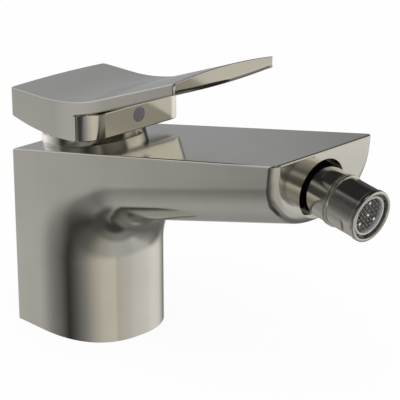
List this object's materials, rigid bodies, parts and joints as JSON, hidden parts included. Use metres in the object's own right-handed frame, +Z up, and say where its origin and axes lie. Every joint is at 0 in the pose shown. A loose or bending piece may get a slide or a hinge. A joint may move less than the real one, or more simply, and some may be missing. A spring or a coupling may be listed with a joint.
{
  "type": "bidet mixer",
  "caption": "Single-lever deck mixer with a squared column, a flat rising spout, a wide upswept lever plate and a ball-jointed swivel outlet with an aerator.",
  "frame": {"origin": "centre of the flat underside on the cartridge's axis, in the plane of the deck that the mixer stands on", "axes": "+Z up along the cartridge's axis; -Y from the cartridge's axis out along the spout; +X to the right of someone who faces the spout"},
  "size_m": [0.0516, 0.1715, 0.1242],
  "materials": {
    "satin_nickel": "satin nickel plating on cast brass",
    "dark_nickel": "polished nickel plating on turned brass",
    "raw_brass": "machined brass",
    "steel": "turned stainless steel",
    "ceramic": "lapped dense ceramic",
    "white_plastic": "moulded acetal",
    "grey_plastic": "moulded plastic",
    "plug_plastic": "smooth grey plastic",
    "red_plastic": "moulded plastic",
    "rubber": "black rubber",
    "steel_mesh": "woven stainless wire"
  },
  "bodies": {
    "mixer_body": {"body": "satin_nickel", "base_gasket": "rubber", "cover_ring": "satin_nickel", "retaining_nut": "raw_brass", "cartridge_housing": "white_plastic", "cartridge_base": "grey_plastic", "port_seals": "rubber", "fixed_disc": "ceramic", "slide_ring": "grey_plastic", "limit_ring": "red_plastic", "ball_nipple": "dark_nickel", "nipple_seal": "rubber"},
    "turret": {"driver": "white_plastic", "stem_pin": "steel"},
    "lever": {"lever_stem": "steel", "handle": "satin_nickel", "grub_screw": "steel", "indicator_plug": "plug_plastic"},
    "disc": {"moving_disc": "ceramic", "disc_carrier": "grey_plastic"},
    "liner": {"slip_liner": "white_plastic"},
    "swivel": {"swivel_shell": "dark_nickel", "ball_seat": "white_plastic", "ball_seal": "rubber", "swivel_sleeve": "dark_nickel", "washer": "rubber", "flow_disc": "white_plastic", "jet_former": "white_plastic", "aerator_cage": "grey_plastic", "wire_screen": "steel_mesh"}
  },
  "joints": [
    {"name": "temperature_turn", "type": "hinge", "parent": "mixer_body", "child": "turret", "pos_m": [0, 0, 0.071], "axis": [0, 0, 1], "range_deg": [-45, 45]},
    {"name": "flow_lift", "type": "hinge", "parent": "turret", "child": "lever", "pos_m": [0, 0, 0.071], "axis": [-1, 0, 0], "range_deg": [0, 25]},
    {"name": "disc_slide", "type": "slide", "parent": "turret", "child": "disc", "axis": [0, -1, 0], "range_m": [0, 0.00337]},
    {"name": "swivel_pan", "type": "hinge", "parent": "mixer_body", "child": "liner", "pos_m": [0, -0.121, 0.0903], "axis": [0, 0, 1], "range_deg": [-15, 15]},
    {"name": "swivel_tilt", "type": "hinge", "parent": "liner", "child": "swivel", "pos_m": [0, -0.121, 0.0903], "axis": [1, 0, 0], "range_deg": [-20, 15]}
  ],
  "couplings": [
    {"joint": "disc_slide", "follows": "flow_lift", "m_per_rad": 0.00771}
  ]
}
